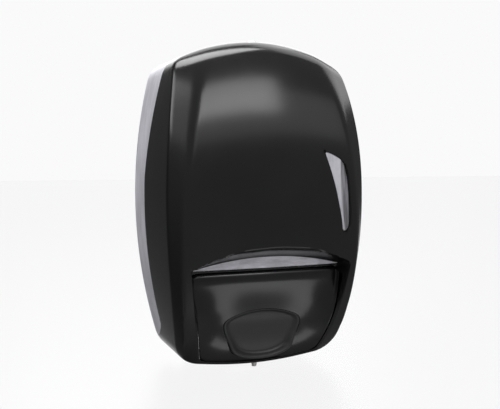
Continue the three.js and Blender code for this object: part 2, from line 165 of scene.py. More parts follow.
def cover_face(x, z):
    """The front face with a trench below the slot window, where the panel's top rolls in."""
    trench = smooth((SLOT_FOOT - z) / 1.2) * (1 - smooth((np.abs(x) - panel_half(z) + 4) / 4))
    return face(x, z) - TRENCH_DEPTH * trench * smooth((z + 60) / 4)


def side(z, f):
    """Half width of the side wall at height z and distance f from the wall."""
    reach = (f + 5) / (face(crease_half(z), z) + 5)
    return wall_half(z) + (crease_half(z) - wall_half(z)) * reach


def parting(z):
    """Distance from the wall of the cover's rear edge."""
    back = np.interp(z, [-119.5, -109, -104, 24, 120], [10, 26, 30, 30, 47])
    ear = 10 - np.sqrt(np.maximum(90.25 - (z + 129) ** 2, 0))
    return np.where(z > -119.5, back, np.where(z > -128.9, np.maximum(ear, 1), 1))


FOOT_CORNER = 14                 # reach of the rounding between side and floor
ROOF_FALL = 0.9                  # of the roof's two ends at the front


def round_corners(x, f, z):
    """Moves points near the four corners of the front outline inwards, so that side and roof,
    and side and floor, run into each other in a curve, and lets the roof fall towards the
    front at its two ends."""
    a = np.abs(x)
    inset = side(z, np.minimum(f, crease_depth(z))) - a
    top = 8 + 2 * np.clip((70 - f) / 25, 0, 1)
    high = top * 0.25 * closeness(inset, top) * closeness(roof(x) - z, top)
    low = FOOT_CORNER * 0.25 * closeness(inset, FOOT_CORNER) * closeness(z - floor(x), FOOT_CORNER)
    outward = np.clip((f - 50) / (crease_depth(z) - 50), 0, 1) ** 1.2
    fall = ROOF_FALL * smooth((a - 45) / 30) * outward * closeness(roof(x) - z, 14)
    return x - np.sign(x) * (0.64 * high + 0.72 * low), f, z - 0.52 * high + 0.75 * low - fall


# ------------------------------------------------------------------ meshes
def at(x, f, z):
    """Points of the row frame, in millimetres."""
    return np.stack(np.broadcast_arrays(x, -np.asarray(f, float), z), -1).astype(float)


def quads(rows, cols, closed=False):
    """Corners of the faces of a grid of points; closed joins the last column to the first."""
    i = np.arange(rows - 1)[:, None]
    j = np.arange(cols if closed else cols - 1)[None, :]
    k = (j + 1) % cols
    return np.stack([i * cols + j, i * cols + k, (i + 1) * cols + k, (i + 1) * cols + j], -1)


def patch(points, closed=False, keep=None):
    """A grid of points and its faces; keep says which faces stay."""
    faces = quads(points.shape[0], points.shape[1], closed)
    return points.reshape(-1, 3), (faces if keep is None else faces[keep]).reshape(-1, 4)


def drop(points, *holes):
    """A grid with rectangles of faces left out: (first row, last row, first col, last col)."""
    keep = np.ones((points.shape[0] - 1, points.shape[1] - 1), bool)
    for r0, r1, c0, c1 in holes:
        keep[r0:r1, c0:c1] = False
    return patch(points, keep=keep)


def make(name, patches, inside=None):
    """Mesh object from patches: equal points merged, faces turned outwards."""
    points = np.concatenate([p for p, _ in patches]) * MM
    starts = np.cumsum([0] + [len(p) for p, _ in patches[:-1]])
    faces = [(f + s).tolist() for (_, f), s in zip(patches, starts)]
    mesh = bpy.data.meshes.new(name)
    mesh.from_pydata(points.tolist(), [], [q for block in faces for q in block])
    bm = bmesh.new()
    bm.from_mesh(mesh)
    bmesh.ops.remove_doubles(bm, verts=bm.verts, dist=2e-6)
    bmesh.ops.dissolve_degenerate(bm, edges=bm.edges, dist=1e-7)
    bmesh.ops.recalc_face_normals(bm, faces=bm.faces)
    if inside is not None:
        centre = Vector(inside) * MM
        flux = sum(f.normal.dot(f.calc_center_median() - centre) * f.calc_area() for f in bm.faces)
        if flux < 0:
            bmesh.ops.reverse_faces(bm, faces=bm.faces)
    bm.to_mesh(mesh)
    bm.free()
    mesh.shade_smooth()
    piece = bpy.data.objects.new(name, mesh)
    bpy.context.scene.collection.objects.link(piece)
    return piece


def thicken(piece, thickness):
    """Gives a skin a wall, inwards."""
    m = piece.modifiers.new("wall", "SOLIDIFY")
    m.thickness = thickness * MM
    m.offset = -1
    m.use_even_offset = True
    return piece


def soften(piece, width, segments=2, angle=38):
    """Rounds the sharp edges of a piece."""
    m = piece.modifiers.new("edges", "BEVEL")
    m.width = width * MM
    m.segments = segments
    m.limit_method = "ANGLE"
    m.angle_limit = math.radians(angle)
    m.use_clamp_overlap = True
    n = piece.modifiers.new("shading", "WEIGHTED_NORMAL")
    n.weight = 60
    return piece


# ------------------------------------------------------------------ outlines and solids
def along(points, count):
    """An open line of points measured out evenly into count steps, both ends kept."""
    p = np.asarray(points, float)
    run = np.concatenate([[0], np.cumsum(np.linalg.norm(np.diff(p, axis=0), axis=1))])
    t = np.linspace(0, run[-1], count + 1)
    return np.stack([np.interp(t, run, p[:, k]) for k in range(p.shape[1])], -1)


def ease(points, reach, closed=True, steps=4):
    """Each corner of an outline becomes a quadratic curve that starts and ends at most reach
    away from it, and never past 0.45 of the edge."""
    p = np.asarray(points, float)
    if closed:
        a, b, c = np.roll(p, 1, 0), p, np.roll(p, -1, 0)
    else:
        a, b, c = p[:-2], p[1:-1], p[2:]
    def toward(q):
        d = q - b
        length = np.linalg.norm(d, axis=1, keepdims=True)
        return b + d * np.minimum(reach / np.maximum(length, 1e-9), 0.45)
    t = np.linspace(0, 1, steps)[None, :, None]
    s, e = toward(a)[:, None], toward(c)[:, None]
    curve = ((1 - t) ** 2 * s + 2 * t * (1 - t) * b[:, None] + t * t * e).reshape(-1, p.shape[1])
    return curve if closed else np.concatenate([p[:1], curve, p[-1:]])


def turned(profile, axis, centre, steps=56, edge=0.3, wave=None):
    """A profile of (radius, height) carried round an axis: 'up', 'out' or 'across'.
    A closed profile, whose ends meet, makes a ring; wave adds a share of the radius by angle."""
    p = ease(profile, edge, closed=False)
    r, h = p[:, 0:1], p[:, 1:2]
    t = np.linspace(0, TAU, steps, endpoint=False)[None, :]
    swell = 1 if wave is None else 1 + wave(t, h)
    u, v = r * np.cos(t) * swell, r * np.sin(t) * swell
    a, b = centre
    if axis == "up":
        return patch(at(a + u, b + v, h + 0 * t), closed=True)
    if axis == "out":
        return patch(at(a + u, h + 0 * t, b + v), closed=True)
    return patch(at(h + 0 * t, a + u, b + v), closed=True)


def bar(r, from_, to, axis, centre, steps=40, edge=0.4):
    """A round bar with eased ends."""
    return turned([(0, from_), (r, from_), (r, to), (0, to)], axis, centre, steps, edge)


def pipe(r0, r1, h0, h1, start=None):
    """Closed profile of a ring between two radii and two heights, starting in its bore."""
    m = (h0 + h1) / 2 if start is None else start
    return [(r0, m), (r0, h0), (r1, h0), (r1, h1), (r0, h1), (r0, m)]


def loops(stack, cap=True):
    """A skin over rings of equal point count; cap draws the first and last ring to a point."""
    rings = [np.asarray(r, float) for r in stack]
    if cap:
        first, last = rings[0].mean(0), rings[-1].mean(0)
        rings = [0 * rings[0] + first] + rings + [0 * rings[-1] + last]
    return patch(np.stack(rings), closed=True)


def slab(outline, low, high, lift, rim=0.6, steps=4):
    """An outline (u, v) between two levels, its edges rolled over by rim; lift(u, v, w) gives
    the points.  The caps run to the outline's middle."""
    o = np.asarray(outline, float)
    middle = o.mean(0)
    tangent = np.roll(o, -1, 0) - np.roll(o, 1, 0)
    normal = np.stack([tangent[:, 1], -tangent[:, 0]], -1)
    normal /= np.maximum(np.linalg.norm(normal, axis=1, keepdims=True), 1e-9)
    area = np.sum(o[:, 0] * np.roll(o[:, 1], -1) - np.roll(o[:, 0], -1) * o[:, 1])
    normal *= np.sign(area)
    phi = np.linspace(0, math.pi / 2, steps)
    stack = [lift(o[:, 0] - normal[:, 0] * rim * (1 - math.sin(a)),
                  o[:, 1] - normal[:, 1] * rim * (1 - math.sin(a)),
                  low + rim * (1 - math.cos(a))) for a in phi]
    stack += [lift(o[:, 0] - normal[:, 0] * rim * (1 - math.sin(a)),
                   o[:, 1] - normal[:, 1] * rim * (1 - math.sin(a)),
                   high - rim * (1 - math.cos(a))) for a in phi[::-1]]
    inner = middle + (o - normal * rim - middle) * 0.6
    stack = [lift(inner[:, 0], inner[:, 1], low)] + stack + [lift(inner[:, 0], inner[:, 1], high)]
    return loops(stack)


FRONTAL = lambda u, v, w: at(u, w + 0 * u, v)
SIDEWAYS = lambda u, v, w: at(w + 0 * u, u, v)
UPRIGHT = lambda u, v, w: at(u, v, w + 0 * u)


def box(x0, x1, f0, f1, z0, z1, edge=0.6, rim=None):
    """A rounded block, drawn as a slab of its front outline."""
    outline = ease([(x0, z0), (x1, z0), (x1, z1), (x0, z1)], edge)
    return slab(outline, f0, f1, FRONTAL, min(edge, 0.6) if rim is None else rim)


def fit_ring(outer, inner, layers, lift):
    """Rings from one closed line to another of the same count, lifted to the surface."""
    t = np.linspace(0, 1, layers + 1)[:, None, None]
    p = outer * (1 - t) + inner * t
    return patch(lift(p[..., 0], p[..., 1]), closed=True)


def rect_loop(x, z, r0, r1, c0, c1):
    """The points round a rectangle of a grid, counter-clockwise from its lower left corner."""
    pick = lambda g: np.concatenate([g[r0, c0:c1], g[r0:r1, c1], g[r1, c1:c0:-1], g[r1:r0:-1, c0]])
    return np.stack([pick(x), pick(z)], -1)


def four_sides(bottom, right, top, left, cols, rows):
    """Closed line from four lines, each measured out evenly to match a rectangle of a grid."""
    parts = [(bottom, cols), (right, rows), (top, cols), (left, rows)]
    return np.concatenate([along(line, n)[:-1] for line, n in parts])


def rounded_sides(line, radii, cols, rows):
    """Corners of a four-sided closed line pulled in to curves; radii per corner, starting lower
    left.  The shift dies out along the edges as a square."""
    n = len(line)
    out = line.copy()
    run = np.linalg.norm(np.roll(line, -1, 0) - line, axis=1)
    for corner, radius in zip((0, cols, cols + rows, 2 * cols + rows), radii):
        order = (corner + np.arange(n)) % n
        ahead = np.zeros(n)
        ahead[order] = np.concatenate([[0], np.cumsum(run[order])[:-1]])
        distance = np.minimum(ahead, run.sum() - ahead)
        here = line[corner]
        d1 = line[(corner + 2) % n] - here
        d2 = line[(corner - 2) % n] - here
        inward = d1 / np.linalg.norm(d1) + d2 / np.linalg.norm(d2)
        out += 0.25 * radius * inward * np.clip(1 - distance / radius, 0, 1)[:, None] ** 2
    return out


# ------------------------------------------------------------------ cover shell
HALF_COLUMNS = (48, 10)          # centre to panel edge, panel edge to crease
WALL_COLUMNS = 14
CREASE_EASE = 1.7


def row_heights(x):
    """Heights of the mesh rows at x, from floor to roof, closer at the rolled edges and the
    brow.  Returns the rows and the first row of each zone."""
    step = (PANEL_TOP + SLOT_FOOT) / 2
    ledge = np.maximum(slot_top(x), SLOT_FOOT + 0.1) + 2
    lid = np.maximum(brow(x), -47) + 3
    zones = [
        (floor(x), floor(x) + 1.8, 5, "low"), (floor(x) + 1.8, floor(x) + 2.4, 1, ""),
        (floor(x) + 2.4, step + 0 * x, 50, ""), (step + 0 * x, ledge, 6, ""),
        (ledge, lid, 12, ""), (lid, roof(x) - 12, 82, ""), (roof(x) - 12, roof(x), 16, "high"),
    ]
    rows, first = [], [0]
    for low, high, count, kind in zones:
        t = np.linspace(0, 1, count, endpoint=False)
        t = {"low": 1 - np.cos(t * math.pi / 2), "high": np.sin(t * math.pi / 2)}.get(kind, t)
        t = t.reshape((-1,) + (1,) * np.ndim(x))
        rows.append(low + (high - low) * t)
        first.append(first[-1] + count)
    rows.append(roof(x)[None] if np.ndim(x) else np.array([roof(x)]))
    return np.concatenate(rows), first


def front_grid():
    """x and z of the front face's grid: columns follow the panel's sides and the crease, rows
    follow floor, slot, brow and roof; four passes settle the one against the other."""
    inner, outer = HALF_COLUMNS
    u = np.concatenate([np.linspace(0, 1, inner + 1), 1 + np.linspace(0, 1, outer + 1)[1:]])
    u = np.concatenate([-u[:0:-1], u])
    count = row_heights(np.array([0.0]))[0].shape[0]
    x = np.broadcast_to(np.clip(np.abs(u), 0, 1) * 73 * np.sign(u), (count, len(u))).copy()
    for _ in range(4):
        z = np.stack([row_heights(x[k])[0][k] for k in range(count)])
        a = np.abs(u)[None]
        edge = panel_half(z) + 1.2
        limit = crease_half(z) - CREASE_EASE
        x = np.sign(u) * np.where(a <= 1, a * edge, edge + (limit - edge) * (a - 1))
    return x, z


def wall_grid(z_of, start, stop, columns=WALL_COLUMNS):
    """Right side wall from start(z) to stop(z): x, f and z with rows settled on their x."""
    q = np.linspace(0, 1, columns + 1)[None, :]
    z = z_of(np.full(1, 75.0))[:, :1] + 0 * q
    for _ in range(4):
        f = start(z) + (stop(z) - start(z)) * q
        x = side(z, f)
        rows = z_of(x.ravel()).reshape(-1, *x.shape)
        z = rows[np.arange(x.shape[0]), np.arange(x.shape[0])]
    return x, start(z) + (stop(z) - start(z)) * q, z


def coons(front, back, left, right):
    """Grid between four lines: front and back of m points, left and right of n points."""
    n, m = len(left), len(front)
    u = np.linspace(0, 1, m)[None, :, None]
    v = np.linspace(0, 1, n)[:, None, None]
    flat = (1 - v) * back[None] + v * front[None]
    upright = (1 - u) * left[:, None] + u * right[:, None]
    corners = ((1 - u) * (1 - v) * back[0] + u * (1 - v) * back[-1]
               + (1 - u) * v * front[0] + u * v * front[-1])
    return flat + upright - corners


def blade_sides(grow):
    """The blade window's outline as four lines: rounded foot, outer edge, top arc, inner edge."""
    top = [(43.3 - grow, 46 + grow), (48, 44.9 + grow), (52.8, 43 + grow), (58, 40.3 + grow),
           (62, 37.7 + grow), (64.2 + grow, 35.4 + grow)]
    outer = [(69.3 + grow, -14.7), (69.4 + grow, 1.8), (68.3 + grow, 15.5), (66.6 + grow, 26),
             (64.2 + grow, 35.4 + grow)]
    foot = [(61.0 - grow, -18.6 - grow), (62.4, -20.2 - grow), (65.4, -20.0 - grow),
            (68.0 + grow, -18 - grow * 0.7), (69.3 + grow, -14.7)]
    inner = [(61.0 - grow, -18.6 - grow), (60.0 - grow, -10), (58 - grow, -1.5), (54 - grow, 15.5),
             (49.0 - grow, 30.8), (43.3 - grow, 46 + grow)]
    bend = lambda line: ease(line, 6, closed=False, steps=6)
    return bend(foot), bend(outer), bend(top[::-1]), bend(inner[::-1])


def slot_sides(grow):
    """The slot window's outline: a lens, straight below and arched above."""
    half = 65.5 + grow
    x = np.linspace(-half, half, 49)
    base = SLOT_FOOT - grow
    top = np.maximum(slot_top(x), SLOT_FOOT) + 0.6 + grow
    low = np.stack([x, 0 * x + base], -1)
    high = np.stack([x, top], -1)
    return low, np.stack([low[-1], high[-1]]), high[::-1], np.stack([high[0], low[0]])


def panel_sides(grow, low_gap):
    """The push panel's outline, sharp-cornered: sides in line with the crease."""
    z = np.linspace(-134, PANEL_TOP + grow, 40)
    x = panel_half(z) - 1 + grow
    foot_x = panel_half(np.array(-133.0)) - 1 + grow
    foot = np.linspace(-foot_x, foot_x, 60)
    low = np.stack([foot, floor(foot) + low_gap], -1)
    right = np.stack([x, z], -1)
    right = np.concatenate([low[-1:], right[right[:, 1] > low[-1, 1] + 0.8]])
    top = np.stack([np.linspace(x[-1], -x[-1], 60), np.full(60, z[-1])], -1)
    return low, right, top, right[::-1] * [-1, 1]


def lift_face(x, z, sink=0):
    """Points on the front face, or sink below it."""
    return at(x, face(x, z) - sink, z)


def ringed(x, z, area, sides, radii=None, layers=3):
    """The faces between a rectangle of the front's grid and the outline of an opening."""
    rows, cols = area[1] - area[0], area[3] - area[2]
    line = four_sides(*sides, cols, rows)
    if radii:
        line = rounded_sides(line, radii, cols, rows)
    return fit_ring(rect_loop(x, z, *area), line, layers,
                    lambda a, b: at(a, cover_face(a, b), b))


def cover_front(x, z):
    """The front face on its grid, with openings for panel, slot window and blade window."""
    first = row_heights(np.array([0.0]))[1]
    middle, inner = x.shape[1] // 2, HALF_COLUMNS[0]
    panel = (first[2], first[3], middle - inner, middle + inner)
    slot = (first[3], first[4], middle - inner + 2, middle + inner - 2)
    blade_rows = np.searchsorted(z[first[5]:, middle + 40], [-24.5, 50.0]) + first[5]
    blade = (blade_rows[0], blade_rows[1], middle + 27, middle + inner)
    front = at(*round_corners(x, cover_face(x, z), z))
    return [drop(front, panel, slot, blade),
            ringed(x, z, panel, panel_sides(0.1, 3.0), (5, 5, 9, 9)),
            ringed(x, z, slot, slot_sides(0.4), layers=2),
            ringed(x, z, blade, blade_sides(0.35))]


def crease_strip(x, z, wall):
    """x, f and z of the eased crease: a quadratic curve from the end of the right wall to the
    last column of the front, towards the sharp corner between them."""
    wx, wf, wz = (g[:, -1] for g in wall)
    fx, fz = x[:, -1], z[:, -1]
    t = np.linspace(0, 1, 6)[None, :]
    bend = lambda a, b, c: ((1 - t) ** 2 * a[:, None] + 2 * t * (1 - t) * b[:, None]
                            + t * t * c[:, None])
    return (bend(wx, crease_half(fz), fx), bend(wf, face(crease_half(fz), fz), face(fx, fz)),
            bend(wz, 0.5 * (wz + fz), fz))


def end_sheet(x, z, wall, strip, row, level):
    """Roof or floor, which closes the walls' last or first row: a grid between the rim of the
    front, the two walls and a straight rear edge, laid on the arch."""
    wx, wf = wall[0][row], wall[1][row]
    ex, ef = strip[0][row], strip[1][row]
    rim = np.concatenate([
        np.stack([-ex, ef], -1)[:-1],
        np.stack([x[row], face(x[row], z[row])], -1),
        np.stack([ex, ef], -1)[::-1][1:],
    ])
    # The rim's columns keep their spacing along the back.
    spread = rim[:, 0] / np.abs(rim[:, 0]).max() * wx[0]
    back = np.stack([spread, np.full(len(rim), wf[0])], -1)
    sheet = coons(rim, back, np.stack([-wx, wf], -1), np.stack([wx, wf], -1))
    return sheet, at(*round_corners(sheet[..., 0], sheet[..., 1], level(sheet[..., 0])))


def cover_shell():
    """The cover: front face with its three openings, side walls, roof and floor."""
    x, z = front_grid()
    wall = wall_grid(lambda w: row_heights(w)[0], lambda h: parting(h) + 0.2,
                     lambda h: face(crease_half(h), h) - CREASE_EASE)
    strip = crease_strip(x, z, wall)
    patches = cover_front(x, z)
    for s in (1, -1):
        for a, f, h in (wall, strip):
            patches.append(patch(at(*round_corners(s * a, f, h))))
    patches.append(patch(end_sheet(x, z, wall, strip, -1, roof)[1]))
    # The floor is open towards the wall and round the spout.
    sheet, points = end_sheet(x, z, wall, strip, 0, floor)
    across = np.abs(sheet[:-1, :-1, 0] + sheet[1:, 1:, 0]) / 2
    k = np.arange(WALL_COLUMNS)[:, None]
    keep = ~((across < 63) & (k < 4)) & ~((across < 24) & (k >= 7) & (k < 13))
    patches.append(patch(points, keep=keep))
    return make("cover_shell", patches, inside=(0, -40, 0))


# ------------------------------------------------------------------ materials
class Value:
    """A number socket, with + - * and / that add Math nodes."""

    def __init__(self, look, socket):
        self.look, self.socket = look, socket

    def _math(self, operation, *inputs):
        return self.look.node("ShaderNodeMath", {"operation": operation},
                              {i: v for i, v in enumerate(inputs)})

    def __add__(self, other): return self._math("ADD", self, other)
    def __radd__(self, other): return self._math("ADD", other, self)
    def __sub__(self, other): return self._math("SUBTRACT", self, other)
    def __rsub__(self, other): return self._math("SUBTRACT", other, self)
    def __mul__(self, other): return self._math("MULTIPLY", self, other)
    def __rmul__(self, other): return self._math("MULTIPLY", other, self)
    def __truediv__(self, other): return self._math("DIVIDE", self, other)

    def ramp(self, low, high):
        """0 below low, 1 above high, smooth between."""
        return self.look.node("ShaderNodeMapRange", {"interpolation_type": "SMOOTHSTEP"},
                              {"Value": self, "From Min": low, "From Max": high})


class Look:
    """A material: its principled shader and the nodes that feed it."""

    def __init__(self, name, **constants):
        self.material = bpy.data.materials.new(name)
        self.material.use_nodes = True
        self.tree = self.material.node_tree
        self.shader = self.tree.nodes["Principled BSDF"]
        for key, value in constants.items():
            self.shader.inputs[key.replace("_", " ").title()].default_value = value
        coordinates = self.tree.nodes.new("ShaderNodeTexCoord")
        self.place = Value(self, coordinates.outputs["Object"])

    def node(self, kind, settings=(), inputs=(), output=0):
        n = self.tree.nodes.new(kind)
        for key, value in dict(settings).items():
            setattr(n, key, value)
        for key, value in dict(inputs).items():
            if isinstance(value, Value):
                self.tree.links.new(value.socket, n.inputs[key])
            else:
                n.inputs[key].default_value = value
        return Value(self, n.outputs[output])

    def noise(self, scale, detail=2.0, roughness=0.5, stretch=(1, 1, 1), shift=0.0):
        """Noise on object coordinates, scale in features per metre; 0 to 1."""
        vector = self.node("ShaderNodeMapping", {}, {
            "Vector": self.place, "Scale": stretch, "Location": (shift, shift * 0.7, shift * 1.3)})
        return self.node("ShaderNodeTexNoise", {}, {
            "Vector": vector, "Scale": scale, "Detail": detail, "Roughness": roughness})

    def axis(self, name):
        return self.node("ShaderNodeSeparateXYZ", {}, {0: self.place}, "XYZ".index(name))

    def mix(self, mask, a, b):
        """Colour a where mask is 0, b where it is 1."""
        return self.node("ShaderNodeMix", {"data_type": "RGBA"}, {0: mask, 6: a, 7: b}, 2)

    def feed(self, **links):
        for key, value in links.items():
            self.tree.links.new(value.socket, self.shader.inputs[key.replace("_", " ").title()])
        return self

    def bump(self, height, strength, distance, then=None):
        inputs = {"Strength": strength, "Distance": distance * MM, "Height": height}
        if then is not None:
            inputs["Normal"] = then
        return self.node("ShaderNodeBump", {}, inputs)


def grey(v, tint=(1, 1, 1)):
    """A colour of brightness v, slightly tinted."""
    return (v * tint[0], v * tint[1], v * tint[2], 1)


def moulded(name, base, worn, rough, spread, peel, grain, **constants):
    """Moulded plastic: two close tones in broad clouds, roughness that wanders, a long shallow
    orange peel and a fine grain in the surface."""
    look = Look(name, **constants)
    clouds = look.noise(14, 3, 0.55)
    fine = look.noise(900, 2, 0.6, shift=3.1)
    smear = look.noise(60, 4, 0.6, stretch=(1, 1, 0.35), shift=7.7)
    look.feed(base_color=look.mix(clouds.ramp(0.3, 0.7), base, worn),
              roughness=rough + spread * (smear - 0.5) + 0.5 * spread * (fine - 0.5))
    long_wave = look.bump(look.noise(210, 1, 0.4, shift=1.9), peel, 0.05)
    look.feed(normal=look.bump(fine, grain, 0.02, long_wave))
    return look


def smoky(name, base, deep, rough, drawn, grain=55, fold=None):
    """Smoke-tinted translucent plastic, imitated by an opaque surface: flow streaks drawn out along
    one way, cloudier in places, with a faint satin surface.  fold gives two darker tones of painted
    shade for the outer leaf of a folded pane, streaked across the first."""
    look = Look(name)
    streak = look.noise(grain, 5, 0.7, stretch=drawn)
    cloud = look.noise(22, 3, 0.6, shift=4.4)
    body = look.mix((0.7 * streak + 0.3 * cloud).ramp(0.36, 0.62), base, deep)
    # Painted shade: beyond a line that follows the pane's fold, the outer leaf is painted in the
    # darker fold tones, mixed by streaks.
    if fold:
        x, z = look.axis("X") / MM, look.axis("Z") / MM
        outer = (x - (60.3 - 0.12 * z + 0.0022 * z * z)).ramp(-0.5, 0.5)
        lines = look.noise(240, 3, 0.7, stretch=(1.5, 1.5, 0.06), shift=6.1)
        body = look.mix(outer, body, look.mix(lines.ramp(0.38, 0.62), *fold))
    look.feed(base_color=body, roughness=rough + 0.12 * (streak - 0.5))
    look.feed(normal=look.bump(look.noise(260, 2, 0.5, shift=2.2), 0.12, 0.04))
    return look


def metal(name, base, rough, brushed, **constants):
    """Turned metal: fine grooves round the piece, slight colour drift, small dull spots."""
    look = Look(name, metallic=1.0, **constants)
    groove = look.noise(1400, 2, 0.5, stretch=brushed)
    spots = look.noise(300, 3, 0.7, shift=5.0)
    look.feed(base_color=look.mix(spots.ramp(0.45, 0.75), base, grey(base[0] * 0.72)),
              roughness=rough + 0.16 * (groove - 0.5) + 0.1 * spots.ramp(0.5, 0.8))
    look.feed(normal=look.bump(groove, 0.15, 0.02))
    return look


black_gloss = moulded("black_gloss", grey(0.0075, (1, 1, 1.04)), grey(0.010, (1, 1, 1.03)),
                      0.2, 0.05, 0.05, 0.03)
black_satin = moulded("black_satin", grey(0.022), grey(0.028), 0.44, 0.08, 0.05, 0.16)
LILAC = (0.98, 0.97, 1.05)
smoke_tray = smoky("smoke_tray", grey(0.78, LILAC), grey(0.6, LILAC), 0.34, (1.6, 1.6, 0.3))
# The last pair of greys given to smoke_clear is painted shade, for the blade pane's outer leaf.
smoke_clear = smoky("smoke_clear", grey(0.68, LILAC), grey(0.5, LILAC), 0.22, (1, 1, 0.5), 90,
                    (grey(0.38, LILAC), grey(0.16, LILAC)))
smoke_slot = smoky("smoke_slot", grey(0.98, LILAC), grey(0.62, LILAC), 0.22, (0.28, 1, 1.7), 120)
milky_tank = moulded("milky_tank", grey(0.78, (1, 1, 1.01)), grey(0.70, (0.99, 1, 1.02)),
                     0.36, 0.08, 0.25, 0.06, subsurface_weight=0.3, subsurface_scale=0.01)
SLATE = (0.97, 1, 1.04)
grey_cap = moulded("grey_cap", grey(0.25, SLATE), grey(0.21, SLATE), 0.42, 0.08, 0.1, 0.2)
pump_white = moulded("pump_white", grey(0.80, (1, 1, 0.98)), grey(0.74, (1, 0.995, 0.97)),
                     0.33, 0.08, 0.15, 0.06)
seal_rubber = moulded("seal_rubber", grey(0.018), grey(0.028), 0.72, 0.1, 0.1, 0.4)
steel = metal("steel", grey(0.56, (1, 1, 1.01)), 0.24, (1, 1, 1))
lock_chrome = metal("lock_chrome", grey(0.70, (1, 1, 1.01)), 0.14, (0.2, 0.2, 1))


def finish(piece, look, slot, body, *nodes):
    """Material, slot (not used), body and the CAD nodes that the piece stands for."""
    piece.data.materials.append(look.material)
    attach(piece, body)
    if nodes:
        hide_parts(*nodes)
    return piece


# ------------------------------------------------------------------ cover and its fittings
# Axes, as distance from the wall and height.
HINGE = (10, -129)               # the cover on its two pins
LEVER = (85.5, -57)              # the push panel on its rod
PUMP_Z = -116                    # height of the pump's axis
LOCK_F = 54.5                    # distance of the lock's axis from the wall
FILLER = (0, 28)                 # the tank's filler neck, x and distance from the wall
UNION = (0, 30)                  # the union between tank and pump
SPOUT = (0, 59.5)                # the spout
TANK_SCREW = (54, -68)           # x and height of the screws in the tank's ears
# Wall thicknesses.
COVER_WALL = 2.4
PANEL_WALL = 2.0
TRAY_WALL = 2.3
PLATE_WALL = 2.98

shell = soften(thicken(cover_shell(), COVER_WALL), 0.35)
finish(shell, black_gloss, "black_gloss", "cover", "front_cover")


def lug(axis, r, x0, x1, turn, foot, eased=0.8, steps=18):
    """A lug: a round eye of radius r about an axis, turned from one angle to another, that
    widens to the points of its foot, as a slab in the side view."""
    f, z = axis
    t = np.radians(np.linspace(*turn, steps))
    arc = np.stack([f + r * np.cos(t), z + r * np.sin(t)], -1)
    outline = np.concatenate([arc, np.array(foot, float)])
    return slab(ease(outline, eased, steps=3), x0, x1, SIDEWAYS, 0.3)


LEVER_EYE = 3.2                  # radius of the lugs on the lever rod
LEVER_TURN = (110, 250)


def cover_fittings():
    """Two knuckles on the hinge, two lugs that hold the lever rod, and the lock's sleeve."""
    knuckle = lambda x0, x1: lug(HINGE, 4.5, x0, x1, (30, 230),
                                 [(9.5, -134.6), (20, -135), (24, -133)])
    holder = lambda x0, x1: lug(LEVER, LEVER_EYE, x0, x1, LEVER_TURN, [(88, -60), (88, -56)])
    patches = [knuckle(44, 50), knuckle(-50, -44), holder(71, 74.5), holder(-74.5, -71)]
    patches.append(turned(pipe(5.3, 7, 131, 138, 134), "up", (0, LOCK_F), 48, 0.4))
    return make("cover_fittings", patches)


finish(cover_fittings(), black_gloss, "black_gloss", "cover")


def window(name, sides, cols, rows, sink, thickness, lift):
    """A pane: a grid between its outline's four lines, laid on the face and given a wall."""
    low, right, top, left = sides
    grid = coons(along(low, cols), along(top[::-1], cols),
                 along(left, rows), along(right[::-1], rows))
    pane = make(name, [patch(lift(grid[..., 0], grid[..., 1], sink))], inside=(0, -20, 0))
    return soften(thicken(pane, thickness), 0.25)


def blade_lift(x, z, sink):
    """The blade pane is folded: its outer part leans away along a line near its middle."""
    fold = np.interp(z, [-20, 0, 22, 40], [62.8, 60.6, 58.4, 58.6])
    edge = np.interp(z, [-20, 0, 22, 40], [69.3, 69.3, 67.4, 64])
    out = np.clip((x - fold) / (edge - fold), 0, 1.2)
    return at(x, face(x, z) - sink + least(0 * x, -3.2 * out, 0.3) + 0.1, z)


blade = window("blade_window_pane", blade_sides(0), 22, 40, 0.3, 2.0, blade_lift)
finish(blade, smoke_clear, "smoke_clear", "cover", "blade_window")
slot_pane = window("slot_window_pane", slot_sides(0), 110, 8, 0.9, 1.8, lift_face)
finish(slot_pane, smoke_slot, "smoke_clear", "cover", "slot_window")

rod = make("lever_rod_turned", [bar(1.6, -76, 76, "across", LEVER, 28, 0.5)])
finish(rod, steel, "steel", "cover", "lever_rod")


# ------------------------------------------------------------------ push panel and press pad
PANEL_COLS, PANEL_ROWS = 100, 60
PANEL_SHY = (0.4, 1.4, 3.5)      # gaps of the panel at its top, sides and foot
PAD_FOOT = -124.5                # where the pad's shallow foot meets its slanted sides
PAD_FRAME = (38.5, -133.1, -85.4)    # half width, bottom and top of the panel's mesh left to it
PAD_MIDDLE = -101.0


def pad_line(grow):
    """Outline of the press pad as four lines: shallow foot, slanted sides, low arch on top,
    with small round corners between them."""
    half, low = 35.6 + grow, -132 - grow
    x = np.linspace(-half + 0.3, half - 0.3, 41)
    top = np.stack([x, -87.4 + grow - 8.6 * (x / 35) ** 2], -1)
    flank = np.array([(27.2 + grow, PAD_FOOT), (32.4 + grow, -111), (half, -101.5),
                      (half - 0.3, top[-1, 1])])
    foot_x = np.linspace(-27.2 - grow, 27.2 + grow, 41)
    foot = np.stack([foot_x, low + 7.5 * np.abs(foot_x / 27.2) ** 2.6], -1)
    foot[0, 1] = foot[-1, 1] = PAD_FOOT
    sides = (foot, flank, top[::-1], flank[::-1] * [-1, 1])
    line = np.concatenate([along(p, 40)[:-1] for p in sides])
    for _ in range(14):
        line = 0.25 * np.roll(line, 1, 0) + 0.5 * line + 0.25 * np.roll(line, -1, 0)
    line = np.concatenate([line, line[:1]])
    return [line[k:k + 41] for k in (0, 40, 80, 120)]


def panel_edges(x, z):
    """Distances of a point on the panel from its top, its side and its foot."""
    top, flank, foot = PANEL_SHY
    return PANEL_TOP - top - z, panel_half(z) - flank - np.abs(x), z - floor(x) - foot


